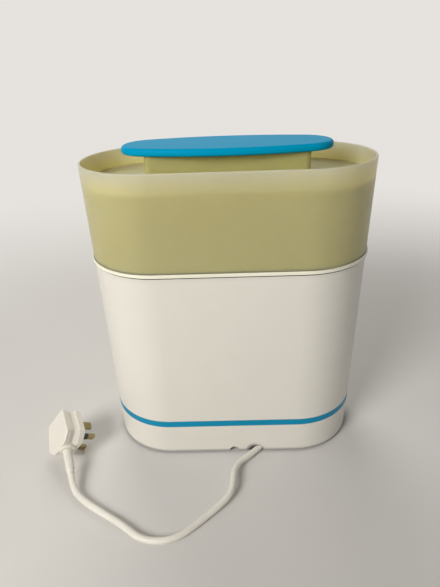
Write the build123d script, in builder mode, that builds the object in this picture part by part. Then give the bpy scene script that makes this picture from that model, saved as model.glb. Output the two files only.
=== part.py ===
"""Electric steam sterilizer with stacked baskets, a cloudy lid and a moulded mains lead.

Millimetres. The origin is on the table under the middle of the unit, +Z is up and -Y is the front.
Every level of the stack has the same outline: two straight sides joined by round ends, with one draft.
"""
import os
from math import atan, cos, degrees, pi, radians, sin, tan

from build123d import *

os.makedirs("parts", exist_ok=True)

# Outline of the whole stack
half_straight = 73.0
rim_radius = 77.0
bottom_radius = 70.0
fit_gap = 0.3

# Heights in the stack, from the table up
stand = 2.5
base_height = 40.5
stripe_height = 5.5
basket_height = 182.0
shadow_gap = 1.5
flange_thickness = 3.5
lid_height = 97.5
roof_recess = 19.0
neck_height = 25.0
cap_thickness = 7.4

stripe_low = stand + base_height
stripe_high = stripe_low + stripe_height
basket_top = stripe_high + basket_height
flange_low = basket_top + shadow_gap
flange_top = flange_low + flange_thickness
rim_z = flange_top + lid_height
roof_top = rim_z - roof_recess
cap_underside = roof_top + neck_height
draft = degrees(atan((rim_radius - bottom_radius) / (rim_z - stand)))

# Base housing
base_wall = 2.6
shelf_thickness = 2.5
shelf_width = 13.0
boss_radius = 4.0
boss_x = half_straight + 50.0
boss_y = 36.0
screw_radius = 1.4
screw_length = 16.0
screw_head_radius = 3.2
screw_head_height = 1.8
empty_notch_radius = 5.5

# Bottom cover and the cord store under it
cover_thickness = 2.5
store_half_straight = 22.0
store_radius = 50.0
store_width = 16.0
store_depth = 12.5
store_wall = 2.0
lug_reach = 5.0
lug_width = 12.0
lug_thickness = 1.6
lug_root = 3.0
lug_front_x = -30.0
foot_radius = 7.0
foot_x = half_straight + 15.0
foot_y = 36.0
foot_pocket = 0.8
foot_chamfer = 0.6

# Trim ring and water pan
ring_recess = 0.6
ring_width = 8.4
pan_flange = 2.4
pan_wall = 2.4
pan_draft = 20.0
pan_depth = 15.0
pan_floor_z = stripe_low - pan_depth

# Heater
plate_half_straight = 30.0
plate_radius = 40.0
plate_thickness = 1.5
gasket_width = 3.5
gasket_height = 1.0
spreader_height = 3.0
spreader_margin = 2.0
element_diameter = 6.5
element_radius = 22.0
thermostat_radius = 8.0
thermostat_height = 8.0
thermostat_chamfer = 1.0
fuse_gap = 6.0
fuse_radius = 2.0
fuse_length = 20.0

# Power button on the back
button_radius = 8.0
button_z = 28.0
button_proud = 1.6
button_travel = 1.5
button_collar = 1.6
collar_margin = 1.2
button_round = 0.8
switch_size = 6.0
switch_depth = 4.0
board_width = 56.0
board_thickness = 1.6
board_height = 19.0
lens_x = 20.0
lens_radius = 2.5
lens_proud = 0.5

# Large basket
basket_wall = 2.4
basket_ledge = 12.0
ledge_thickness = 2.5
locating_lip = 2.2
lip_depth = 2.7
grid_thickness = 2.6
grid_slot_width = 3.6
grid_slot_pitch = 9.0
grid_slot_length = 44.0
grid_row_pitch = 58.0
grid_end_slots = 20.0
post_height = 46.0
post_base_radius = 6.0
post_tip_radius = 3.5
post_spacing = 56.0

# Small basket
flange_proud = 1.5
small_wall = 2.0
small_draft = 7.0
small_depth = 70.5
small_floor_z = basket_top - small_depth
small_floor = 2.2
lid_bead_height = 3.0
lid_bead_width = 1.8
small_ledge = 8.0
small_plate_thickness = 2.2
small_slot_width = 3.4
small_slot_pitch = 8.0
small_slot_length = 34.0
small_row_pitch = 40.0
small_plain_ends = 30.0
small_plate_gap = 1.5
finger_hole_x = half_straight + 10.0
flange_round = 1.0
finger_hole_radius = 8.0

# Lid
lid_wall = 2.2
neck_length = 163.0
neck_depth = 52.0
neck_corner = 6.0
vent_length = 24.0
vent_height = 5.0
vent_drop = 7.4
rim_round = 1.0
cap_length = 213.0
cap_depth = 79.0
cap_end_radius = 30.0
cap_top_round = 3.6
cap_bottom_round = 2.4
peg_radius = 3.0
peg_length = 7.0
peg_spacing = 100.0

# Mains lead
cord_diameter = 7.0
stored_z = 8.4
gland_length = 22.0
gland_radius = 5.8
gland_tip_radius = 4.4
gland_neck_radius = 4.2
gland_end_x = -10.0

# Plug: how it lies, its flared outline, its waist and its pins
plug_heading = 19.8
plug_dip = 19.4
plug_roll = 32.0
plug_length = 42.0
plug_width = 49.0
plug_earth_width = 38.0
plug_cord_width = 27.0
plug_shoulder = 9.0
plug_front = 12.0
plug_back = 10.5
plug_corner = 5.0
plug_waist = 2.4
plug_waist_half = 4.5
plug_rim = 6.0
back_round = 1.2
boot_length = 28.0
boot_radius = 5.6
boot_tip_radius = 4.1
boot_ring_place = 20.5
boot_ring_length = 2.2
boot_ring_radius = 4.9
collar_radius = 9.0
collar_length = 2.5
pin_spacing = 22.2
pin_reach = 17.7
pin_wide = 6.35
pin_thick = 4.0
earth_wide = 8.0
earth_reach = 22.7
live_from_exit = 13.3
pin_socket_depth = 4.0
pin_chamfer = 0.9
sleeve_length = 9.0
sleeve_wall = 0.6


def wall_radius(height):
    """Radius of the round ends of the outer wall at a height."""
    return bottom_radius + (height - stand) * tan(radians(draft))


def drafted(low, high, inset, mode=Mode.ADD):
    """A block between two heights that keeps one distance inside the outer wall."""
    with BuildSketch(Plane.XY.offset(low)) as outline:
        SlotCenterToCenter(2 * half_straight, 2 * (wall_radius(low) - inset))
    extrude(outline.sketch, amount=high - low, taper=-draft, mode=mode)


def slot_block(low, high, centre_half, radius, mode=Mode.ADD):
    """A straight-sided block with round ends."""
    with BuildSketch(Plane.XY.offset(low)) as outline:
        SlotCenterToCenter(2 * centre_half, 2 * radius)
    extrude(outline.sketch, amount=high - low, mode=mode)


def box_block(low, high, centre, size, mode=Mode.ADD):
    """A rectangular block between two heights."""
    with BuildSketch(Plane.XY.offset(low)) as outline:
        with Locations(centre):
            Rectangle(*size)
    extrude(outline.sketch, amount=high - low, mode=mode)


def keep(piece, name):
    """Label a finished piece and write its file."""
    piece.part.label = name
    export_step(piece.part, f"parts/{name}.step")


# How the plug lies: along the lead, along its pins and across, with its own weight on a pin and its flange
heading, dip, roll = radians(plug_heading), radians(plug_dip), radians(plug_roll)
plug_forward = Vector(sin(heading) * cos(dip), -cos(heading) * cos(dip), -sin(dip))
plug_level = Vector(cos(heading), sin(heading), 0)
plug_upright = plug_forward.cross(plug_level)
pin_direction = plug_level * cos(roll) - plug_upright * sin(roll)
plug_across = plug_level * sin(roll) + plug_upright * cos(roll)
pin_tip = pin_direction * (plug_front + pin_reach) - plug_across * (pin_spacing / 2 + pin_wide / 2)
pin_tip = pin_tip - plug_forward * (live_from_exit - pin_thick / 2)
flange_corner = pin_direction * plug_front - plug_across * (plug_width / 2 - back_round)
flange_corner = flange_corner - plug_forward * (collar_length + plug_shoulder)
plug_exit_x = -191.5
plug_exit_y = -86.9
plug_exit = Vector(plug_exit_x, plug_exit_y, max(-pin_tip.Z, -flange_corner.Z))
boot_end = plug_exit + plug_forward * boot_length

# Route of the lead: one turn in the store under the base, out at the front, over the table to the plug
corner_reach = store_radius * tan(pi / 8)
store_far = store_half_straight + store_radius
store_near = store_half_straight + corner_reach
boot_lead = 17.6
corner_share = 0.45
notch_point = Vector(26.0, -73.0, 4.4)
cord_route = [
    Vector(gland_end_x, -store_radius, stored_z),
    Vector(-store_near, -store_radius, stored_z),
    Vector(-store_far, -corner_reach, stored_z),
    Vector(-store_far, corner_reach, stored_z),
    Vector(-store_near, store_radius, stored_z),
    Vector(store_near, store_radius, stored_z),
    Vector(store_far, corner_reach, stored_z),
    Vector(store_far, -corner_reach, stored_z),
    notch_point,
    Vector(-1.0, -98.0, 7.0),
    Vector(-2.5, -129.0, 9.5),
    Vector(-9.0, -143.5, 7.5),
    Vector(-32.0, -163.5, 4.0),
    Vector(-60.5, -188.5, 3.5),
    Vector(-92.5, -189.0, 3.5),
    Vector(-116.5, -169.5, 3.5),
    Vector(-140.0, -155.0, 3.5),
    Vector(-162.5, -140.5, 3.5),
    boot_end + plug_forward * boot_lead,
    boot_end,
]
run_lengths = [(b - a).length for a, b in zip(cord_route, cord_route[1:])]
cord_radii = []
for index in range(1, len(cord_route) - 1):
    arriving = cord_route[index] - cord_route[index - 1]
    leaving = cord_route[index + 1] - cord_route[index]
    half_turn = radians(arriving.get_angle(leaving)) / 2
    shorter_run = min(run_lengths[index - 1], run_lengths[index])
    cord_radii.append(corner_share * shorter_run / tan(half_turn))
print("cord radii", [round(radius, 1) for radius in cord_radii])
exit_run = notch_point - cord_route[7]
exit_direction = exit_run.normalized()


def cord_passage(radius, drop, mode=Mode.SUBTRACT):
    """The lead's way out through the front, open downwards."""
    start = cord_route[7] + exit_direction * (exit_run.length * corner_share)
    for sink in (0.0, drop):
        plane = Plane(origin=start - Vector(0, 0, sink), z_dir=exit_direction)
        with BuildSketch(plane) as outline:
            Circle(radius)
        extrude(outline.sketch, amount=exit_run.length, mode=mode)


# Base housing
shelf_low = stripe_low - shelf_thickness
cover_top = stand + cover_thickness
button_face_y = wall_radius(button_z)
with BuildPart() as base_housing:
    drafted(stand, stripe_low, 0)
    drafted(stand, shelf_low, base_wall, Mode.SUBTRACT)
    drafted(shelf_low, stripe_low, shelf_width, Mode.SUBTRACT)
    with BuildSketch(Plane.XY.offset(cover_top)) as boss_outline:
        with GridLocations(2 * boss_x, 2 * boss_y, 2, 2):
            Circle(boss_radius)
    extrude(boss_outline.sketch, amount=shelf_low - cover_top)
    with BuildSketch(Plane.XY.offset(cover_top)) as pilot_outline:
        with GridLocations(2 * boss_x, 2 * boss_y, 2, 2):
            Circle(screw_radius + fit_gap / 3)
    extrude(pilot_outline.sketch, amount=screw_length, mode=Mode.SUBTRACT)
    front_plane = Plane(origin=(0, -bottom_radius, stand), z_dir=(0, -1, 0))
    with BuildSketch(front_plane) as notch_outline:
        Circle(empty_notch_radius)
    extrude(notch_outline.sketch, amount=4 * base_wall, both=True, mode=Mode.SUBTRACT)
    cord_passage(cord_diameter / 2 + 2 * fit_gap, stand)
    back_plane = Plane(origin=(0, button_face_y, button_z), x_dir=(1, 0, 0), z_dir=(0, 1, 0))
    with BuildSketch(back_plane) as button_outline:
        Circle(button_radius + fit_gap)
        with Locations((-lens_x, 0)):
            Circle(lens_radius)
    extrude(button_outline.sketch, amount=2 * base_wall, both=True, mode=Mode.SUBTRACT)
keep(base_housing, "base_housing")

# Bottom cover with the cord store pressed up into it
store_top = stand + store_depth
groove_inner = store_radius - store_width / 2
groove_outer = store_radius + store_width / 2
gland_wall_x = gland_end_x + gland_length
channel_clear_x = 40.0
channel_reach = 54.0
bulkhead_gap = channel_clear_x - gland_wall_x
bulkhead_middle_x = (channel_clear_x + gland_wall_x) / 2
channel_width = cord_diameter + 2 * store_wall
channel_length = 70.0
channel_angle = degrees(atan(exit_direction.Y / exit_direction.X)) + 180
channel_middle = cord_route[7] + exit_direction * channel_reach
lug_middle = groove_inner + (lug_reach - lug_root) / 2
lug_places = [(-store_half_straight - lug_middle, 0), (store_half_straight + lug_middle, 0)]
lug_turned_places = [(0, lug_middle), (lug_front_x, -lug_middle)]
with BuildPart() as bottom_cover:
    with BuildSketch(Plane.XY.offset(cover_top)) as store_shell:
        SlotCenterToCenter(2 * store_half_straight, 2 * (groove_outer + store_wall))
        SlotCenterToCenter(2 * store_half_straight, 2 * (groove_inner - store_wall), mode=Mode.SUBTRACT)
        with Locations((bulkhead_middle_x, -store_radius)):
            Rectangle(bulkhead_gap - 2 * store_wall, store_width + 3 * store_wall, mode=Mode.SUBTRACT)
        with Locations(Location((channel_middle.X, channel_middle.Y), channel_angle)):
            Rectangle(channel_length, channel_width + 2 * store_wall)
    extrude(store_shell.sketch, amount=store_top + store_wall - cover_top)
    drafted(cover_top, store_top + store_wall, base_wall + fit_gap, Mode.INTERSECT)
    drafted(stand, cover_top, base_wall + fit_gap)
    with BuildSketch(Plane.XY.offset(stand)) as store_groove:
        SlotCenterToCenter(2 * store_half_straight, 2 * groove_outer)
        SlotCenterToCenter(2 * store_half_straight, 2 * groove_inner, mode=Mode.SUBTRACT)
        with Locations((bulkhead_middle_x, -store_radius)):
            Rectangle(bulkhead_gap, store_width + store_wall, mode=Mode.SUBTRACT)
        with Locations(Location((channel_middle.X, channel_middle.Y), channel_angle)):
            Rectangle(channel_length - 2 * store_wall, channel_width)
    extrude(store_groove.sketch, amount=store_depth, mode=Mode.SUBTRACT)
    with BuildSketch(front_plane) as pocket_outline:
        Circle(empty_notch_radius)
    extrude(pocket_outline.sketch, amount=-(groove_outer - store_radius + store_wall), mode=Mode.SUBTRACT)
    gland_hole_plane = Plane(origin=(gland_wall_x, -store_radius, stored_z), z_dir=(1, 0, 0))
    with BuildSketch(gland_hole_plane) as gland_hole:
        Circle(gland_neck_radius + fit_gap)
    extrude(gland_hole.sketch, amount=store_wall, mode=Mode.SUBTRACT)
    with BuildSketch(Plane.XY.offset(stand)) as foot_pockets:
        with GridLocations(2 * foot_x, 2 * foot_y, 2, 2):
            Circle(foot_radius + fit_gap / 3)
    extrude(foot_pockets.sketch, amount=foot_pocket, mode=Mode.SUBTRACT)
    with BuildSketch(Plane.XY.offset(stand)) as screw_holes:
        with GridLocations(2 * boss_x, 2 * boss_y, 2, 2):
            Circle(screw_radius + fit_gap)
    extrude(screw_holes.sketch, amount=cover_thickness, mode=Mode.SUBTRACT)
    with BuildSketch(Plane.XY.offset(stand)) as lug_outline:
        with Locations(*lug_places):
            Rectangle(lug_reach + lug_root, lug_width)
        with Locations(*lug_turned_places):
            Rectangle(lug_width, lug_reach + lug_root)
    extrude(lug_outline.sketch, amount=lug_thickness)
keep(bottom_cover, "bottom_cover")

# Rubber feet
with BuildPart() as feet:
    with BuildSketch() as foot_outline:
        with GridLocations(2 * foot_x, 2 * foot_y, 2, 2):
            Circle(foot_radius)
    extrude(foot_outline.sketch, amount=stand + foot_pocket)
    chamfer(feet.faces().sort_by(Axis.Z)[:4].edges(), foot_chamfer)
keep(feet, "feet")

# Screws through the cover into the bosses
with BuildPart() as cover_screws:
    with BuildSketch(Plane.XY.offset(stand)) as shank_outline:
        with GridLocations(2 * boss_x, 2 * boss_y, 2, 2):
            Circle(screw_radius)
    extrude(shank_outline.sketch, amount=screw_length)
    with BuildSketch(Plane.XY.offset(stand)) as head_outline:
        with GridLocations(2 * boss_x, 2 * boss_y, 2, 2):
            Circle(screw_head_radius)
    extrude(head_outline.sketch, amount=-screw_head_height)
keep(cover_screws, "cover_screws")

# Blue ring between the base and the large basket
with BuildPart() as trim_ring:
    drafted(stripe_low, stripe_high, ring_recess)
    drafted(stripe_low, stripe_high, ring_recess + ring_width, Mode.SUBTRACT)
keep(trim_ring, "trim_ring")

# Water pan with a hole for the heating plate
pan_outer = ring_recess + ring_width + fit_gap
pan_bowl = shelf_width + 2 * fit_gap
pan_top = stripe_low + pan_flange
plate_hole_radius = plate_radius - gasket_width
gasket_z = pan_floor_z + pan_wall
with BuildPart() as water_pan:
    drafted(stripe_low, pan_top, pan_outer)
    with BuildSketch(Plane.XY.offset(stripe_low)) as bowl_outline:
        SlotCenterToCenter(2 * half_straight, 2 * (wall_radius(stripe_low) - pan_bowl))
    extrude(bowl_outline.sketch, amount=-(stripe_low - pan_floor_z), taper=pan_draft)
    with BuildSketch(Plane.XY.offset(pan_top)) as water_outline:
        SlotCenterToCenter(2 * half_straight, 2 * (wall_radius(pan_top) - pan_bowl - pan_wall))
    extrude(water_outline.sketch, amount=gasket_z - pan_top, taper=pan_draft, mode=Mode.SUBTRACT)
    slot_block(pan_floor_z, gasket_z, plate_half_straight, plate_hole_radius, Mode.SUBTRACT)
keep(water_pan, "water_pan")

# Gasket, heating plate and what is fixed under the plate
plate_z = gasket_z + gasket_height
with BuildPart() as plate_gasket:
    slot_block(gasket_z, plate_z, plate_half_straight, plate_radius)
    slot_block(gasket_z, plate_z, plate_half_straight, plate_hole_radius, Mode.SUBTRACT)
keep(plate_gasket, "plate_gasket")

with BuildPart() as heating_plate:
    slot_block(plate_z, plate_z + plate_thickness, plate_half_straight, plate_radius)
    fillet(heating_plate.faces().sort_by(Axis.Z)[-1].edges(), plate_thickness / 2)
keep(heating_plate, "heating_plate")

spreader_low = plate_z - spreader_height
with BuildPart() as heat_spreader:
    slot_block(spreader_low, plate_z, plate_half_straight, plate_hole_radius - spreader_margin)
keep(heat_spreader, "heat_spreader")

element_z = spreader_low - element_diameter / 2
with BuildPart() as heating_element:
    with BuildLine(Plane.XY.offset(element_z)) as element_path:
        lower_leg = Line((plate_half_straight, -element_radius), (-plate_half_straight, -element_radius))
        round_end = ThreePointArc(
            (-plate_half_straight, -element_radius),
            (-plate_half_straight - element_radius, 0),
            (-plate_half_straight, element_radius),
        )
        upper_leg = Line((-plate_half_straight, element_radius), (plate_half_straight, element_radius))
    element_wire = element_path.wire()
    with BuildSketch(Plane(origin=element_wire @ 0, z_dir=element_wire % 0)) as element_section:
        Circle(element_diameter / 2)
    sweep(element_section.sketch, path=element_wire)
keep(heating_element, "heating_element")

with BuildPart() as thermostat:
    with BuildSketch(Plane.XY.offset(spreader_low)) as thermostat_outline:
        Circle(thermostat_radius)
    extrude(thermostat_outline.sketch, amount=-thermostat_height)
    chamfer(thermostat.faces().sort_by(Axis.Z)[0].edges(), thermostat_chamfer)
keep(thermostat, "thermostat")

fuse_plane = Plane(origin=(thermostat_radius + fuse_gap, 0, spreader_low - fuse_radius), z_dir=(1, 0, 0))
with BuildPart() as thermal_fuse:
    with BuildSketch(fuse_plane) as fuse_outline:
        Circle(fuse_radius)
    extrude(fuse_outline.sketch, amount=fuse_length)
keep(thermal_fuse, "thermal_fuse")

# Switch board behind the power button, standing on the roof of the cord store
store_roof = store_top + store_wall
button_inner_y = button_face_y - base_wall
button_rest_y = button_inner_y - 2 * fit_gap - button_collar
switch_face_y = button_rest_y - button_travel - fit_gap
board_y = switch_face_y - switch_depth - board_thickness
with BuildPart() as switch_board:
    board_place = (0, board_y + board_thickness / 2)
    box_block(store_roof, store_roof + board_height, board_place, (board_width, board_thickness))
keep(switch_board, "switch_board")

with BuildPart() as touch_switch:
    switch_place = (0, switch_face_y - switch_depth / 2)
    switch_low = button_z - switch_size / 2
    box_block(switch_low, switch_low + switch_size, switch_place, (switch_size, switch_depth))
keep(touch_switch, "touch_switch")

lens_plane = Plane(origin=(-lens_x, button_face_y, button_z), x_dir=(1, 0, 0), z_dir=(0, 1, 0))
with BuildPart() as indicator_lens:
    with BuildSketch(lens_plane) as lens_outline:
        Circle(lens_radius - fit_gap / 3)
    extrude(lens_outline.sketch, amount=lens_proud)
    extrude(lens_outline.sketch, amount=-(button_face_y - board_y - board_thickness))
keep(indicator_lens, "indicator_lens")

with BuildPart() as power_button:
    with BuildSketch(back_plane) as push_outline:
        Circle(button_radius)
    extrude(push_outline.sketch, amount=button_proud)
    fillet(power_button.faces().sort_by(Axis.Y)[-1].edges(), button_round)
    extrude(push_outline.sketch, amount=-(button_face_y - button_rest_y))
    with BuildSketch(Plane(origin=(0, button_rest_y, button_z), z_dir=(0, 1, 0))) as collar_outline:
        Circle(button_radius + collar_margin)
    extrude(collar_outline.sketch, amount=button_collar)
keep(power_button, "power_button")

# Strain relief that the lead leaves the housing by
gland_plane = Plane(origin=(gland_wall_x, -store_radius, stored_z), z_dir=(-1, 0, 0))
with BuildPart() as cord_gland:
    with BuildSketch(gland_plane) as gland_root:
        Circle(gland_radius)
    with BuildSketch(gland_plane.offset(gland_length)) as gland_tip:
        Circle(gland_tip_radius)
    loft([gland_root.sketch.face(), gland_tip.sketch.face()])
    with BuildSketch(gland_plane) as gland_neck:
        Circle(gland_neck_radius)
    extrude(gland_neck.sketch, amount=-store_wall)
keep(cord_gland, "cord_gland")

# Terminal block on the cover, with the three inner leads from the gland
block_x = 24.0
block_y = -24.0
block_size = (22.0, 12.0)
block_height = 11.0
block_chamfer = 0.8
terminal_pitch = 7.0
terminal_radius = 1.8
terminal_depth = 5.0
lead_radius = 1.1
lead_pitch = 3.2
lead_bend = 4.0
with BuildPart() as terminal_block:
    box_block(cover_top, cover_top + block_height, (block_x, block_y), block_size)
    with BuildSketch(Plane.XY.offset(cover_top + block_height)) as terminal_holes:
        with Locations(*[(block_x + step * terminal_pitch, block_y) for step in (-1, 0, 1)]):
            Circle(terminal_radius)
    extrude(terminal_holes.sketch, amount=-terminal_depth, mode=Mode.SUBTRACT)
    chamfer(terminal_block.faces().sort_by(Axis.Z)[-1].outer_wire().edges(), block_chamfer)
keep(terminal_block, "terminal_block")

with BuildPart() as inner_leads:
    lead_start_x = gland_wall_x + store_wall
    for step in (-1, 0, 1):
        lead_y = -store_radius + step * lead_pitch
        lead_x = block_x - step * lead_pitch
        with BuildLine(Plane.XY.offset(stored_z)) as lead_path:
            lead_corners = [(lead_start_x, lead_y), (lead_x, lead_y), (lead_x, block_y - block_size[1] / 2)]
            FilletPolyline(*lead_corners, radius=lead_bend)
        lead_wire = lead_path.wire()
        with BuildSketch(Plane(origin=lead_wire @ 0, z_dir=lead_wire % 0)) as lead_section:
            Circle(lead_radius)
        sweep(lead_section.sketch, path=lead_wire)
keep(inner_leads, "inner_leads")

# Large basket: white outer wall, ledge inside the foot, lip that locates in the trim ring
lip_outer = ring_recess + ring_width + 2 * fit_gap
with BuildPart() as large_basket:
    drafted(stripe_high, basket_top, 0)
    drafted(stripe_high + ledge_thickness, basket_top, basket_wall, Mode.SUBTRACT)
    drafted(stripe_high, stripe_high + ledge_thickness, basket_ledge, Mode.SUBTRACT)
    drafted(stripe_high - lip_depth, stripe_high, lip_outer)
    drafted(stripe_high - lip_depth, stripe_high, lip_outer + locating_lip, Mode.SUBTRACT)
keep(large_basket, "large_basket")

# Drain grid with pegs for bottles
grid_low = stripe_high + ledge_thickness
grid_top = grid_low + grid_thickness
slot_columns = int((2 * half_straight + grid_end_slots) / grid_slot_pitch)
with BuildPart() as drain_grid:
    drafted(grid_low, grid_top, basket_wall + fit_gap)
    with BuildSketch(Plane.XY.offset(grid_low)) as slot_outline:
        with GridLocations(grid_slot_pitch, grid_row_pitch, slot_columns, 2):
            SlotOverall(grid_slot_length, grid_slot_width, rotation=90)
    extrude(slot_outline.sketch, amount=grid_thickness, mode=Mode.SUBTRACT)
keep(drain_grid, "drain_grid")

post_taper = degrees(atan((post_base_radius - post_tip_radius) / post_height))
with BuildPart() as bottle_pegs:
    with BuildSketch(Plane.XY.offset(grid_top)) as peg_root:
        with GridLocations(post_spacing, 1, 4, 1):
            Circle(post_base_radius)
    extrude(peg_root.sketch, amount=post_height, taper=post_taper)
keep(bottle_pegs, "bottle_pegs")

# Small basket: proud rim over a shadow gap, tapering bowl, open floor that carries a loose plate
bowl_inset = basket_wall + 2 * fit_gap
plate_low = small_floor_z + small_floor
mouth_z = flange_top + lid_bead_height
mouth_radius = wall_radius(mouth_z) - lid_wall - 2 * fit_gap - lid_bead_width
small_floor_radius = wall_radius(basket_top) - bowl_inset
small_floor_radius -= (basket_top - small_floor_z) * tan(radians(small_draft))
with BuildPart() as small_basket:
    drafted(flange_low, flange_top, -flange_proud)
    fillet(small_basket.faces().sort_by(Axis.Z)[-1].edges(), flange_round)
    drafted(basket_top, flange_low, 2 * basket_wall / 3)
    with BuildSketch(Plane.XY.offset(basket_top)) as bowl_rim:
        SlotCenterToCenter(2 * half_straight, 2 * (wall_radius(basket_top) - bowl_inset))
    extrude(bowl_rim.sketch, amount=-(basket_top - small_floor_z), taper=small_draft)
    drafted(flange_top, flange_top + lid_bead_height, lid_wall + 2 * fit_gap)
    with BuildSketch(Plane.XY.offset(mouth_z)) as bowl_mouth:
        SlotCenterToCenter(2 * half_straight, 2 * mouth_radius)
    extrude(bowl_mouth.sketch, amount=plate_low - mouth_z, taper=small_draft, mode=Mode.SUBTRACT)
    open_radius = small_floor_radius - small_wall - small_ledge
    slot_block(small_floor_z, plate_low, half_straight, open_radius, Mode.SUBTRACT)
keep(small_basket, "small_basket")

# Loose plate in the small basket, slotted, with two finger holes
small_slot_columns = int((2 * half_straight - small_plain_ends) / small_slot_pitch)
with BuildPart() as small_plate:
    small_plate_radius = small_floor_radius - small_wall - small_plate_gap
    slot_block(plate_low, plate_low + small_plate_thickness, half_straight, small_plate_radius)
    with BuildSketch(Plane.XY.offset(plate_low)) as small_slots:
        with GridLocations(small_slot_pitch, small_row_pitch, small_slot_columns, 2):
            SlotOverall(small_slot_length, small_slot_width, rotation=90)
        with GridLocations(2 * finger_hole_x, 1, 2, 1):
            Circle(finger_hole_radius)
    extrude(small_slots.sketch, amount=small_plate_thickness, mode=Mode.SUBTRACT)
keep(small_plate, "small_plate")

# Lid: flared wall, with a roof sunk below the rim
roof_low = roof_top - lid_wall
neck_bore = (neck_length - 2 * lid_wall, neck_depth - 2 * lid_wall, neck_corner - lid_wall)
with BuildPart() as lid:
    drafted(flange_top, rim_z, 0)
    drafted(flange_top, roof_low, lid_wall, Mode.SUBTRACT)
    drafted(roof_top, rim_z, lid_wall, Mode.SUBTRACT)
    fillet(lid.faces().sort_by(Axis.Z)[-1].edges(), rim_round)
    with BuildSketch(Plane.XY.offset(roof_low)) as roof_hole:
        RectangleRounded(*neck_bore)
    extrude(roof_hole.sketch, amount=lid_wall, mode=Mode.SUBTRACT)
keep(lid, "lid")

# Raised neck on the roof, with a steam vent in each end and two holes for the pegs of the cap
with BuildPart() as lid_neck:
    with BuildSketch(Plane.XY.offset(roof_top)) as neck_outline:
        RectangleRounded(neck_length, neck_depth, neck_corner)
    extrude(neck_outline.sketch, amount=neck_height)
    with BuildSketch(Plane.XY.offset(roof_top)) as neck_hollow:
        RectangleRounded(*neck_bore)
    extrude(neck_hollow.sketch, amount=neck_height - lid_wall, mode=Mode.SUBTRACT)
    with BuildSketch(Plane.YZ) as vent_outline:
        with Locations((0, cap_underside - vent_drop - vent_height / 2)):
            Rectangle(vent_length, vent_height)
    extrude(vent_outline.sketch, amount=neck_length / 2 + lid_wall, both=True, mode=Mode.SUBTRACT)
    with BuildSketch(Plane.XY.offset(cap_underside)) as peg_holes:
        with GridLocations(peg_spacing, 1, 2, 1):
            Circle(peg_radius + fit_gap / 3)
    extrude(peg_holes.sketch, amount=-lid_wall, mode=Mode.SUBTRACT)
keep(lid_neck, "lid_neck")

# Cap: an oval of four arcs that meet without a corner, with its edges rounded over and under
cap_half_depth = cap_depth / 2
cap_end_x = cap_length / 2 - cap_end_radius
cap_side_radius = cap_end_x**2 + cap_half_depth**2 - cap_end_radius**2
cap_side_radius /= 2 * (cap_half_depth - cap_end_radius)
cap_reach = cap_end_radius / (cap_side_radius - cap_end_radius)
meet_x = cap_end_x * (1 + cap_reach)
meet_y = (cap_side_radius - cap_half_depth) * cap_reach
with BuildPart() as lid_cap:
    with BuildSketch(Plane.XY.offset(cap_underside)) as cap_outline:
        with BuildLine():
            for side in (-1, 1):
                meet_low, meet_high = (side * meet_x, -meet_y), (side * meet_x, meet_y)
                ThreePointArc(meet_low, (side * cap_length / 2, 0), meet_high)
                left_end, right_end = (-meet_x, side * meet_y), (meet_x, side * meet_y)
                ThreePointArc(left_end, (0, side * cap_half_depth), right_end)
        make_face()
    extrude(cap_outline.sketch, amount=cap_thickness)
    fillet(lid_cap.faces().sort_by(Axis.Z)[-1].edges(), cap_top_round)
    fillet(lid_cap.faces().sort_by(Axis.Z)[0].edges(), cap_bottom_round)
    with BuildSketch(Plane.XY.offset(cap_underside)) as peg_outline:
        with GridLocations(peg_spacing, 1, 2, 1):
            Circle(peg_radius)
    extrude(peg_outline.sketch, amount=-peg_length)
keep(lid_cap, "lid_cap")

# Mains lead
with BuildPart() as mains_cord:
    with BuildLine() as cord_path:
        FilletPolyline(*cord_route, radius=cord_radii)
    cord_wire = cord_path.wire()
    with BuildSketch(Plane(origin=cord_wire @ 0, z_dir=cord_wire % 0)) as cord_section:
        Circle(cord_diameter / 2)
    sweep(cord_section.sketch, path=cord_wire)
section_volume = pi * (cord_diameter / 2) ** 2 * cord_wire.length
print("cord length", round(cord_wire.length, 1))
print("cord volume ratio", round(mains_cord.part.volume / section_volume, 4))
keep(mains_cord, "mains_cord")

# Plug body: flared outline, waisted between its back and its flange. Local x runs along the lead, z along the pins
plug_plane = Plane(origin=plug_exit, x_dir=plug_forward, z_dir=pin_direction)
plug_core = Plane(origin=plug_exit, x_dir=pin_direction, z_dir=plug_forward)
pin_axis = Axis(plug_exit, pin_direction)
earth_end_x = -collar_length - plug_length
shoulder_x = -collar_length - plug_shoulder
live_x = -live_from_exit
earth_x = live_x - pin_spacing
outline_points = [
    (earth_end_x, -plug_earth_width / 2),
    (shoulder_x, -plug_width / 2),
    (-collar_length, -plug_cord_width / 2),
    (-collar_length, plug_cord_width / 2),
    (shoulder_x, plug_width / 2),
    (earth_end_x, plug_earth_width / 2),
]
body_levels = [
    (-plug_back, back_round),
    (back_round - plug_back, 0.0),
    (-plug_waist_half, plug_waist / 4),
    (0.0, plug_waist),
    (plug_waist_half, plug_waist / 3),
    (plug_rim, 0.0),
    (plug_front, 0.0),
]
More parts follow.
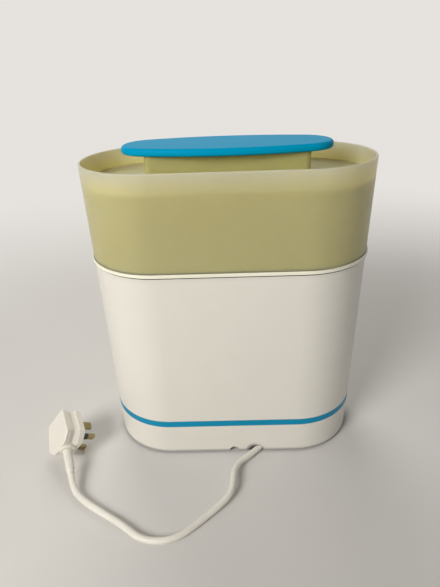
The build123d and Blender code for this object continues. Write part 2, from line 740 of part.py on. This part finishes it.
with BuildPart() as plug_body:
    body_sections = []
    for level, inset in body_levels:
        with BuildSketch(plug_plane.offset(level)) as body_outline:
            Polygon(*outline_points, align=None)
            fillet(body_outline.vertices(), plug_corner)
            if inset:
                offset(amount=-inset, mode=Mode.REPLACE)
        body_sections.append(body_outline.sketch.face())
    loft(body_sections, ruled=True)
    with BuildSketch(plug_core.offset(-collar_length - plug_corner)) as collar_outline:
        Circle(collar_radius)
    extrude(collar_outline.sketch, amount=collar_length + plug_corner)
    with BuildSketch(plug_plane.offset(plug_front)) as pin_sockets:
        with Locations((earth_x, 0)):
            Rectangle(earth_wide, pin_thick)
        with Locations((live_x, pin_spacing / 2), (live_x, -pin_spacing / 2)):
            Rectangle(pin_thick, pin_wide)
    extrude(pin_sockets.sketch, amount=-pin_socket_depth, mode=Mode.SUBTRACT)
keep(plug_body, "plug_body")

socket_plane = plug_plane.offset(plug_front - pin_socket_depth)
with BuildPart() as earth_pin:
    with BuildSketch(socket_plane) as earth_outline:
        with Locations((earth_x, 0)):
            Rectangle(earth_wide, pin_thick)
    extrude(earth_outline.sketch, amount=earth_reach + pin_socket_depth)
    chamfer(earth_pin.faces().sort_by(pin_axis)[-1].edges(), pin_chamfer)
keep(earth_pin, "earth_pin")

# Live pins, thinner inside their sleeves
live_places = [(live_x, pin_spacing / 2), (live_x, -pin_spacing / 2)]
sleeve_top = plug_front + sleeve_length
with BuildPart() as live_pins:
    with BuildSketch(plug_plane.offset(sleeve_top)) as live_outline:
        with Locations(*live_places):
            Rectangle(pin_thick, pin_wide)
    extrude(live_outline.sketch, amount=pin_reach - sleeve_length)
    chamfer(live_pins.faces().sort_by(pin_axis)[-2:].edges(), pin_chamfer)
    with BuildSketch(socket_plane) as core_outline:
        with Locations(*live_places):
            Rectangle(pin_thick - 2 * sleeve_wall, pin_wide - 2 * sleeve_wall)
    extrude(core_outline.sketch, amount=sleeve_length + pin_socket_depth)
keep(live_pins, "live_pins")

with BuildPart() as pin_sleeves:
    with BuildSketch(socket_plane) as sleeve_outline:
        with Locations(*live_places):
            Rectangle(pin_thick, pin_wide)
            Rectangle(pin_thick - 2 * sleeve_wall, pin_wide - 2 * sleeve_wall, mode=Mode.SUBTRACT)
    extrude(sleeve_outline.sketch, amount=sleeve_length + pin_socket_depth)
keep(pin_sleeves, "pin_sleeves")

# Tapered boot between the plug and the lead, with one ring near its end
ring_slope = (boot_radius - boot_tip_radius) / boot_length
ring_root = boot_radius - ring_slope * boot_ring_place
ring_end = boot_ring_place + boot_ring_length
boot_profile = [
    (0, 0),
    (boot_radius, 0),
    (ring_root, boot_ring_place),
    (boot_ring_radius, boot_ring_place + boot_ring_length / 4),
    (boot_ring_radius, ring_end - boot_ring_length / 4),
    (boot_radius - ring_slope * ring_end, ring_end),
    (boot_tip_radius, boot_length),
    (0, boot_length),
]
boot_plane = Plane(origin=plug_exit, x_dir=pin_direction, z_dir=pin_direction.cross(plug_forward))
with BuildPart() as plug_boot:
    with BuildSketch(boot_plane) as boot_half:
        Polygon(*boot_profile, align=None)
    revolve(boot_half.sketch, axis=Axis(plug_exit, plug_forward))
keep(plug_boot, "plug_boot")
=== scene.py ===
"""Electric steam sterilizer with stacked baskets, a cloudy lid and a moulded mains lead.

Metres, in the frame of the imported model: the table is z = 0 and the front looks towards -Y.
"""
from math import cos, pi, radians, sin

import bmesh
import bpy
from mathutils import Matrix, Vector


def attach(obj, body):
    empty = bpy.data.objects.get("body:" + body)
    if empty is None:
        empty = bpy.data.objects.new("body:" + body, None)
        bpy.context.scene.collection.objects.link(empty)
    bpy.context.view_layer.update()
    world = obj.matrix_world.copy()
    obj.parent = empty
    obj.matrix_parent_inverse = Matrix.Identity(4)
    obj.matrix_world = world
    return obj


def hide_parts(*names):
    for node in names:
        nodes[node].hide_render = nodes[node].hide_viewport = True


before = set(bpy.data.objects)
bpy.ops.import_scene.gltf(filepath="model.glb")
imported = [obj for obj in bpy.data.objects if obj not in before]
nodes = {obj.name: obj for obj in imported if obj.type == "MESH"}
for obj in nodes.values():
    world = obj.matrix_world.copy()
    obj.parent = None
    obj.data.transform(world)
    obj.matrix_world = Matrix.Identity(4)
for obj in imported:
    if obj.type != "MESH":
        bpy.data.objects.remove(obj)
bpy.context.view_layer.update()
scene = bpy.context.scene
scene.view_settings.view_transform = "Standard"


# Camera, at the photograph's viewing angle
camera_place = Vector((-0.00266, -0.50254, 0.42801))
camera_pitch = radians(26.616)
camera_roll = radians(-2.020)
camera_yaw = radians(-1.091)
camera_lens = 19.83
camera_sensor = 24.0
camera_near = 0.01
camera_far = 20.0

view_forward = Vector(
    (sin(camera_yaw) * cos(camera_pitch), cos(camera_yaw) * cos(camera_pitch), -sin(camera_pitch))
)
level_right = Vector((cos(camera_yaw), -sin(camera_yaw), 0.0))
level_up = level_right.cross(view_forward)
view_right = level_right * cos(camera_roll) + level_up * sin(camera_roll)
view_up = level_up * cos(camera_roll) - level_right * sin(camera_roll)
camera_data = bpy.data.cameras.new("camera")
camera_data.sensor_fit = "VERTICAL"
camera_data.sensor_height = camera_sensor
camera_data.lens = camera_lens
camera_data.clip_start = camera_near
camera_data.clip_end = camera_far
camera = bpy.data.objects.new("camera", camera_data)
scene.collection.objects.link(camera)
camera.matrix_world = Matrix.Translation(camera_place) @ Matrix(
    (view_right, view_up, -view_forward)
).transposed().to_4x4()
scene.camera = camera


# Surface detail: noise scales per metre and bump depths in metres
plastic_clouds = 28.0
plastic_smears = 12.0
spark_grain = 700.0
brush_lines = 160.0
brush_stretch = (1.0, 40.0, 1.0)
rubber_clouds = 60.0
rubber_grain = 2400.0
lid_clouds = 9.0
lid_smears = 40.0
lid_grain = 900.0
lens_clouds = 200.0
floor_clouds = 3.0
spark_depth = 0.00005
fine_spark_depth = 0.00002
grain_depth = 0.00003
brush_depth = 0.00001

# Painted shade in gaps: how open a place is, and the painted shade tone that goes with it
gap_samples = 12
gap_openness = (0.55, 0.95)
gap_shade_tone = (0.02, 1.0)

# Cloudy plastic: the heights between which its wall is painted paler, for light seen through it,
# and how it scatters light
painted_light_rise = (0.310, 0.330)
cloudy_roughness = (0.30, 0.42)
cloudy_transmission = 0.28
scatter_radius = (1.0, 0.9, 0.6)
scatter_scale = 0.012
plastic_ior = 1.49


# Node helpers
def new_material(name):
    """A material with a Principled shader and object coordinates."""
    material = bpy.data.materials.new(name)
    material.use_nodes = True
    tree = material.node_tree
    tree.nodes.clear()
    output = tree.nodes.new("ShaderNodeOutputMaterial")
    shader = tree.nodes.new("ShaderNodeBsdfPrincipled")
    tree.links.new(shader.outputs["BSDF"], output.inputs["Surface"])
    coordinates = tree.nodes.new("ShaderNodeTexCoord")
    return material, tree, shader, coordinates.outputs["Object"]


def set_inputs(node, values):
    """Sets a node's own sockets by name."""
    for name, value in values.items():
        node.inputs[name].default_value = value


def add_noise(tree, vector, scale, detail, roughness=0.5, stretch=None):
    """Noise of one scale, stretched along an axis where asked."""
    if stretch:
        mapping = tree.nodes.new("ShaderNodeMapping")
        mapping.inputs["Scale"].default_value = stretch
        tree.links.new(vector, mapping.inputs["Vector"])
        vector = mapping.outputs["Vector"]
    noise = tree.nodes.new("ShaderNodeTexNoise")
    set_inputs(noise, {"Scale": scale, "Detail": detail, "Roughness": roughness})
    tree.links.new(vector, noise.inputs["Vector"])
    return noise.outputs["Fac"]


def ramp(tree, factor, low, low_colour, high, high_colour):
    """A colour that runs from one place of a noise to another."""
    node = tree.nodes.new("ShaderNodeValToRGB")
    stops = ((low, low_colour), (high, high_colour))
    for element, (place, colour) in zip(node.color_ramp.elements, stops):
        element.position = place
        element.color = (*colour, 1.0)
    tree.links.new(factor, node.inputs["Fac"])
    return node.outputs["Color"]


def spread(tree, factor, low, high, from_low=0.3, from_high=0.7):
    """Maps a noise or another value on to a range."""
    node = tree.nodes.new("ShaderNodeMapRange")
    set_inputs(node, {"From Min": from_low, "From Max": from_high, "To Min": low, "To Max": high})
    tree.links.new(factor, node.inputs["Value"])
    return node.outputs["Result"]


def add_bump(tree, shader, height, strength, distance):
    """A bump from a height, in metres."""
    node = tree.nodes.new("ShaderNodeBump")
    set_inputs(node, {"Strength": strength, "Distance": distance})
    tree.links.new(height, node.inputs["Height"])
    tree.links.new(node.outputs["Normal"], shader.inputs["Normal"])


def tint(colour, factor):
    """A colour made lighter or darker."""
    return tuple(min(1.0, channel * factor) for channel in colour)


def paint_gap_shade(tree, colours, reach):
    """Paints shade into a colour in narrow gaps and along seams, darker where a place is less open.
    """
    shade = tree.nodes.new("ShaderNodeAmbientOcclusion")
    shade.inputs["Distance"].default_value = reach
    shade.samples = gap_samples
    depth = spread(tree, shade.outputs["AO"], *gap_shade_tone, *gap_openness)
    product = tree.nodes.new("ShaderNodeVectorMath")
    product.operation = "SCALE"
    tree.links.new(colours, product.inputs[0])
    tree.links.new(depth, product.inputs["Scale"])
    return product.outputs["Vector"]


def mix_to_surface(tree, factor, first, second):
    """Mixes two shaders by a factor into the tree's output."""
    mixed = tree.nodes.new("ShaderNodeMixShader")
    tree.links.new(factor, mixed.inputs["Fac"])
    tree.links.new(first, mixed.inputs[1])
    tree.links.new(second, mixed.inputs[2])
    output = next(node for node in tree.nodes if node.type in ("OUTPUT_MATERIAL", "OUTPUT_WORLD"))
    tree.links.new(mixed.outputs["Shader"], output.inputs["Surface"])


def seen_ray(tree):
    """1 for camera, glossy and transmission rays, 0 for the light itself."""
    path = tree.nodes.new("ShaderNodeLightPath")
    value = path.outputs["Is Camera Ray"]
    for name in ("Is Glossy Ray", "Is Transmission Ray"):
        joined = tree.nodes.new("ShaderNodeMath")
        joined.operation = "MAXIMUM"
        tree.links.new(value, joined.inputs[0])
        tree.links.new(path.outputs[name], joined.inputs[1])
        value = joined.outputs["Value"]
    return value


# Materials
def moulded_plastic(name, colour, roughness, spark=0.0, cloud=0.03, shine=0.5, painted_shade_reach=0.0):
    """Moulded plastic: faint clouding, an uneven sheen, where asked a spark texture, and, where a
    reach is given, painted shade in gaps.
    """
    material, tree, shader, vector = new_material(name)
    clouds = add_noise(tree, vector, plastic_clouds, detail=4.0)
    darker, lighter = tint(colour, 1.0 - cloud * 2.0), tint(colour, 1.0 + cloud)
    colours = ramp(tree, clouds, 0.1, darker, 0.9, lighter)
    # Painted shade: the colour is darkened in narrow gaps and along seams
    if painted_shade_reach:
        colours = paint_gap_shade(tree, colours, painted_shade_reach)
    tree.links.new(colours, shader.inputs["Base Color"])
    smears = add_noise(tree, vector, plastic_smears, detail=1.0)
    sheen = spread(tree, smears, roughness * 0.93, roughness * 1.1, from_low=0.0, from_high=1.0)
    tree.links.new(sheen, shader.inputs["Roughness"])
    if spark:
        grain = add_noise(tree, vector, spark_grain, detail=1.0)
        add_bump(tree, shader, grain, strength=0.25, distance=spark)
    set_inputs(shader, {"IOR": plastic_ior, "Specular IOR Level": shine})
    return material


def cloudy_plastic(name, low_colour, high_colour, upper_low=None, upper_high=None):
    """Yellowed plastic that lets light through; where asked, its colour is painted paler above the
    roof, where a wall stands free, for the light that comes through it.
    """
    material, tree, shader, vector = new_material(name)
    clouds = add_noise(tree, vector, lid_clouds, detail=4.0)
    colours = ramp(tree, clouds, 0.2, low_colour, 0.8, high_colour)
    # Painted light: above the roof, where the wall stands free, the colour turns paler
    if upper_low:
        place = tree.nodes.new("ShaderNodeSeparateXYZ")
        tree.links.new(vector, place.inputs["Vector"])
        height = spread(tree, place.outputs["Z"], 0.0, 1.0, *painted_light_rise)
        mix = tree.nodes.new("ShaderNodeMix")
        mix.data_type = "RGBA"
        tree.links.new(height, mix.inputs["Factor"])
        sockets = [socket for socket in mix.inputs if socket.type == "RGBA"]
        tree.links.new(colours, sockets[0])
        tree.links.new(ramp(tree, clouds, 0.2, upper_low, 0.8, upper_high), sockets[1])
        colours = next(socket for socket in mix.outputs if socket.type == "RGBA")
    tree.links.new(colours, shader.inputs["Base Color"])
    smears = add_noise(tree, vector, lid_smears, detail=5.0, roughness=0.6)
    tree.links.new(spread(tree, smears, *cloudy_roughness), shader.inputs["Roughness"])
    grain = add_noise(tree, vector, lid_grain, detail=2.0)
    add_bump(tree, shader, grain, strength=0.3, distance=grain_depth)
    set_inputs(
        shader,
        {
            "IOR": plastic_ior,
            "Transmission Weight": cloudy_transmission,
            "Subsurface Weight": 1.0,
            "Subsurface Radius": scatter_radius,
            "Subsurface Scale": scatter_scale,
        },
    )
    return material


def clear_plastic(name, low_colour, high_colour):
    """Clear, tinted plastic."""
    material, tree, shader, vector = new_material(name)
    clouds = add_noise(tree, vector, lens_clouds, detail=2.0)
    colours = ramp(tree, clouds, 0.3, low_colour, 0.7, high_colour)
    tree.links.new(colours, shader.inputs["Base Color"])
    set_inputs(shader, {"Roughness": 0.1, "Transmission Weight": 0.5})
    return material


def brushed_metal(name, colour, roughness):
    """Drawn or brushed metal with fine lines along one direction."""
    material, tree, shader, vector = new_material(name)
    lines = add_noise(tree, vector, brush_lines, detail=4.0, roughness=0.6, stretch=brush_stretch)
    colours = ramp(tree, lines, 0.3, tint(colour, 0.86), 0.7, colour)
    tree.links.new(colours, shader.inputs["Base Color"])
    sheen = spread(tree, lines, roughness * 0.8, roughness * 1.3)
    tree.links.new(sheen, shader.inputs["Roughness"])
    add_bump(tree, shader, lines, strength=0.3, distance=brush_depth)
    set_inputs(shader, {"Metallic": 1.0})
    return material


def soft_rubber(name, colour, roughness=0.7):
    """Dull rubber or flexible sheathing."""
    material, tree, shader, vector = new_material(name)
    clouds = add_noise(tree, vector, rubber_clouds, detail=5.0, roughness=0.6)
    colours = ramp(tree, clouds, 0.3, tint(colour, 0.93), 0.7, tint(colour, 1.03))
    tree.links.new(colours, shader.inputs["Base Color"])
    sheen = spread(tree, clouds, roughness * 0.9, roughness * 1.1)
    tree.links.new(sheen, shader.inputs["Roughness"])
    grain = add_noise(tree, vector, rubber_grain, detail=2.0)
    add_bump(tree, shader, grain, strength=0.4, distance=grain_depth)
    return material


# White plastic, with painted shade in its gaps, along seams and at the floor contact
white_plastic = moulded_plastic(
    "white_plastic", (0.80, 0.77, 0.70), 0.305, cloud=0.012, painted_shade_reach=0.007
)
cover_plastic = moulded_plastic("cover_plastic", (0.76, 0.75, 0.72), 0.5, spark_depth)
# Underside: the cover plastic painted darker as shade under the base, with painted shade in its
# gaps
shaded_underside_plastic = moulded_plastic(
    "shaded_underside_plastic", (0.60, 0.59, 0.57), 0.5, spark_depth, painted_shade_reach=0.007
)
blue_plastic = moulded_plastic("blue_plastic", (0.0, 0.275, 0.47), 0.35, shine=0.2)
cap_plastic = moulded_plastic("cap_plastic", (0.0, 0.36, 0.63), 0.34, cloud=0.015, shine=0.02)
# Cream plastic, with painted shade in the narrow gap under the flange
cream_plastic = moulded_plastic(
    "cream_plastic", (0.95, 0.93, 0.76), 0.31, cloud=0.012, painted_shade_reach=0.0022
)
plug_plastic = moulded_plastic("plug_plastic", (0.86, 0.82, 0.73), 0.36)
dark_plastic = moulded_plastic("dark_plastic", (0.035, 0.035, 0.04), 0.5, fine_spark_depth)
board_green = moulded_plastic("board_green", (0.02, 0.12, 0.05), 0.45)
button_plastic = moulded_plastic("button_plastic", (0.72, 0.72, 0.72), 0.31)
# Lid: its upper colours are painted light, paler where light comes through the free wall above the
# roof
lid_plastic = cloudy_plastic(
    "lid_plastic",
    low_colour=(0.77, 0.64, 0.27),
    high_colour=(0.82, 0.705, 0.32),
    upper_low=(0.68, 0.62, 0.44),
    upper_high=(0.725, 0.675, 0.495),
)
neck_plastic = cloudy_plastic("neck_plastic", (0.75, 0.645, 0.23), (0.79, 0.69, 0.27))
lens_clear = clear_plastic("lens_clear", (0.75, 0.45, 0.12), (0.85, 0.52, 0.15))
steel = brushed_metal("steel", (0.62, 0.62, 0.63), 0.3)
screw_steel = brushed_metal("screw_steel", (0.55, 0.56, 0.58), 0.35)
aluminium = brushed_metal("aluminium", (0.72, 0.72, 0.74), 0.45)
brass = brushed_metal("brass", (0.45, 0.35, 0.16), 0.34)
sheath = soft_rubber("sheath", (0.88, 0.845, 0.76), 0.42)
dark_rubber = soft_rubber("dark_rubber", (0.06, 0.06, 0.065))
seal_rubber = soft_rubber("seal_rubber", (0.55, 0.55, 0.52))
lead_sheath = soft_rubber("lead_sheath", (0.30, 0.14, 0.07), 0.5)

finishes = {
    "base_housing": white_plastic,
    "trim_ring": blue_plastic,
    "bottom_cover": shaded_underside_plastic,
    "feet": dark_rubber,
    "cover_screws": screw_steel,
    "water_pan": cover_plastic,
    "plate_gasket": seal_rubber,
    "heating_plate": steel,
    "heat_spreader": aluminium,
    "heating_element": screw_steel,
    "thermostat": dark_plastic,
    "thermal_fuse": screw_steel,
    "switch_board": board_green,
    "touch_switch": dark_plastic,
    "indicator_lens": lens_clear,
    "cord_gland": sheath,
    "terminal_block": dark_plastic,
    "inner_leads": lead_sheath,
    "mains_cord": sheath,
    "plug_body": plug_plastic,
    "earth_pin": brass,
    "live_pins": brass,
    "pin_sleeves": dark_plastic,
    "plug_boot": sheath,
    "power_button": button_plastic,
    "large_basket": white_plastic,
    "drain_grid": cover_plastic,
    "bottle_pegs": cover_plastic,
    "small_basket": cream_plastic,
    "small_plate": cream_plastic,
    "lid": lid_plastic,
    "lid_neck": neck_plastic,
    "lid_cap": cap_plastic,
}
for name, finish in finishes.items():
    mesh = nodes[name].data
    mesh.materials.clear()
    mesh.materials.append(finish)


# Blue ring: flush with the walls and lapping a little over the top of the base
half_straight = 0.073
wall_foot = (0.0025, 0.070)
wall_head = (0.333, 0.077)
ring_low = 0.0406
ring_high = 0.0484
ring_proud = 0.00015
ring_depth = 0.009
end_steps = 40


def wall_radius(height):
    """Radius of the round ends of the outer wall at a height."""
    share = (height - wall_foot[0]) / (wall_head[0] - wall_foot[0])
    return wall_foot[1] + (wall_head[1] - wall_foot[1]) * share


def stack_outline(height, inset):
    """Points of the stack's outline at a height, inside the outer wall by an inset."""
    radius = wall_radius(height) - inset
    points = []
    for side, start in ((1, -pi / 2), (-1, pi / 2)):
        for step in range(end_steps + 1):
            angle = start + pi * step / end_steps
            points.append((side * half_straight + radius * cos(angle), radius * sin(angle), height))
    return points


trim_mesh = bpy.data.meshes.new("trim_band")
band = bmesh.new()
ring_corners = (
    (ring_low, -ring_proud),
    (ring_high, -ring_proud),
    (ring_high, ring_depth),
    (ring_low, ring_depth),
)
loops = [
    [band.verts.new(point) for point in stack_outline(height, inset)]
    for height, inset in ring_corners
]
for lower, upper in zip(loops, loops[1:] + loops[:1]):
    for index in range(len(lower)):
        after = (index + 1) % len(lower)
        band.faces.new((lower[index], lower[after], upper[after], upper[index])).smooth = True
for loop in loops:
    for index in range(len(loop)):
        band.edges.get((loop[index], loop[(index + 1) % len(loop)])).smooth = False
bmesh.ops.recalc_face_normals(band, faces=band.faces)
band.to_mesh(trim_mesh)
band.free()
trim_band = bpy.data.objects.new("trim_band", trim_mesh)
scene.collection.objects.link(trim_band)
trim_mesh.materials.append(blue_plastic)
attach(trim_band, "base")
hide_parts("trim_ring")


# Mains lead: one turn in the store under the base, out at the front and over the table to the plug
cord_diameter = 0.007
cord_exit = (-0.010, -0.050, 0.0084)
cord_route = [
    cord_exit,
    (-0.04271, -0.050, 0.0084),
    (-0.072, -0.02071, 0.0084),
    (-0.072, 0.02071, 0.0084),
    (-0.04271, 0.050, 0.0084),
    (0.04271, 0.050, 0.0084),
    (0.072, 0.02071, 0.0084),
    (0.072, -0.02071, 0.0084),
    (0.026, -0.073, 0.0044),
    (-0.001, -0.098, 0.007),
    (-0.0025, -0.129, 0.0095),
    (-0.009, -0.1435, 0.0075),
    (-0.032, -0.1635, 0.004),
    (-0.0605, -0.1885, 0.0035),
    (-0.0925, -0.189, 0.0035),
    (-0.1165, -0.1695, 0.0035),
    (-0.140, -0.155, 0.0035),
    (-0.1625, -0.1405, 0.0035),
    (-0.17693, -0.12737, 0.00736),
    (-0.18255, -0.11175, 0.01321),
]
cord_curve = bpy.data.curves.new("mains_lead", "CURVE")
cord_curve.dimensions = "3D"
cord_curve.bevel_depth = cord_diameter / 2
cord_curve.bevel_resolution = 6
cord_curve.resolution_u = 10
cord_curve.use_fill_caps = True
cord_spline = cord_curve.splines.new("NURBS")
cord_spline.points.add(len(cord_route) - 1)
for point, place in zip(cord_spline.points, cord_route):
    point.co = (*place, 1.0)
cord_spline.order_u = 3
cord_spline.use_endpoint_u = True
cord_spline.use_smooth = True
mains_lead = bpy.data.objects.new("mains_lead", cord_curve)
scene.collection.objects.link(mains_lead)
cord_curve.materials.append(sheath)
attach(mains_lead, "base")
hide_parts("mains_cord")


# Floor: plain near the object, and the backdrop's colour far off where it is only seen
backdrop_colour = (0.79, 0.765, 0.735, 1.0)
floor_half = 6.0
fade_start = 0.35
fade_end = 1.3

floor_paint, tree, shader, vector = new_material("floor_paint")
clouds = add_noise(tree, vector, floor_clouds, detail=3.0)
floor_tones = ramp(tree, clouds, 0.3, (0.70, 0.68, 0.655), 0.7, (0.735, 0.715, 0.69))
tree.links.new(floor_tones, shader.inputs["Base Color"])
set_inputs(shader, {"Roughness": 0.75})
distance = tree.nodes.new("ShaderNodeVectorMath")
distance.operation = "LENGTH"
tree.links.new(vector, distance.inputs[0])
far_off = tree.nodes.new("ShaderNodeMapRange")
far_off.interpolation_type = "SMOOTHSTEP"
set_inputs(far_off, {"From Min": fade_start, "From Max": fade_end})
tree.links.new(distance.outputs["Value"], far_off.inputs["Value"])
fade = tree.nodes.new("ShaderNodeMath")
fade.operation = "MULTIPLY"
tree.links.new(far_off.outputs["Result"], fade.inputs[0])
tree.links.new(seen_ray(tree), fade.inputs[1])
glow = tree.nodes.new("ShaderNodeEmission")
set_inputs(glow, {"Color": backdrop_colour})
mix_to_surface(tree, fade.outputs["Value"], shader.outputs["BSDF"], glow.outputs["Emission"])

floor_mesh = bpy.data.meshes.new("floor")
floor_corners = [
    (-floor_half, -floor_half, 0.0),
    (floor_half, -floor_half, 0.0),
    (floor_half, floor_half, 0.0),
    (-floor_half, floor_half, 0.0),
]
floor_mesh.from_pydata(floor_corners, [], [(0, 1, 2, 3)])
floor_mesh.materials.append(floor_paint)
floor = bpy.data.objects.new("floor", floor_mesh)
scene.collection.objects.link(floor)


# Light: one soft key from the front left, a weak fill, and a back light that the lid lets through
light_target = Vector((0.0, 0.0, 0.17))


def area_light(name, place, size, power, colour, glossy=True):
    """A soft light that looks at the middle of the unit."""
    data = bpy.data.lights.new(name, "AREA")
    data.shape = "DISK"
    data.size = size
    data.energy = power
    data.color = colour
    light = bpy.data.objects.new(name, data)
    scene.collection.objects.link(light)
    light.visible_glossy = glossy
    facing = (light_target - Vector(place)).to_track_quat("-Z", "Y").to_matrix().to_4x4()
    light.matrix_world = Matrix.Translation(place) @ facing


area_light("key", (-0.95, -1.3, 1.05), 0.8, 24.0, (1.0, 0.98, 0.945))
area_light("fill", (1.5, -0.6, 0.9), 1.2, 0.3, (1.0, 0.98, 0.96))
area_light("back", (-0.3, 1.3, 1.2), 1.2, 14.0, (1.0, 0.98, 0.93), glossy=False)

world = bpy.data.worlds.new("studio")
scene.world = world
world.use_nodes = True
tree = world.node_tree
background = tree.nodes["Background"]
set_inputs(background, {"Color": (0.90, 0.90, 0.89, 1.0), "Strength": 0.17})
seen = tree.nodes.new("ShaderNodeBackground")
set_inputs(seen, {"Color": backdrop_colour})
mix_to_surface(tree, seen_ray(tree), background.outputs["Background"], seen.outputs["Background"])
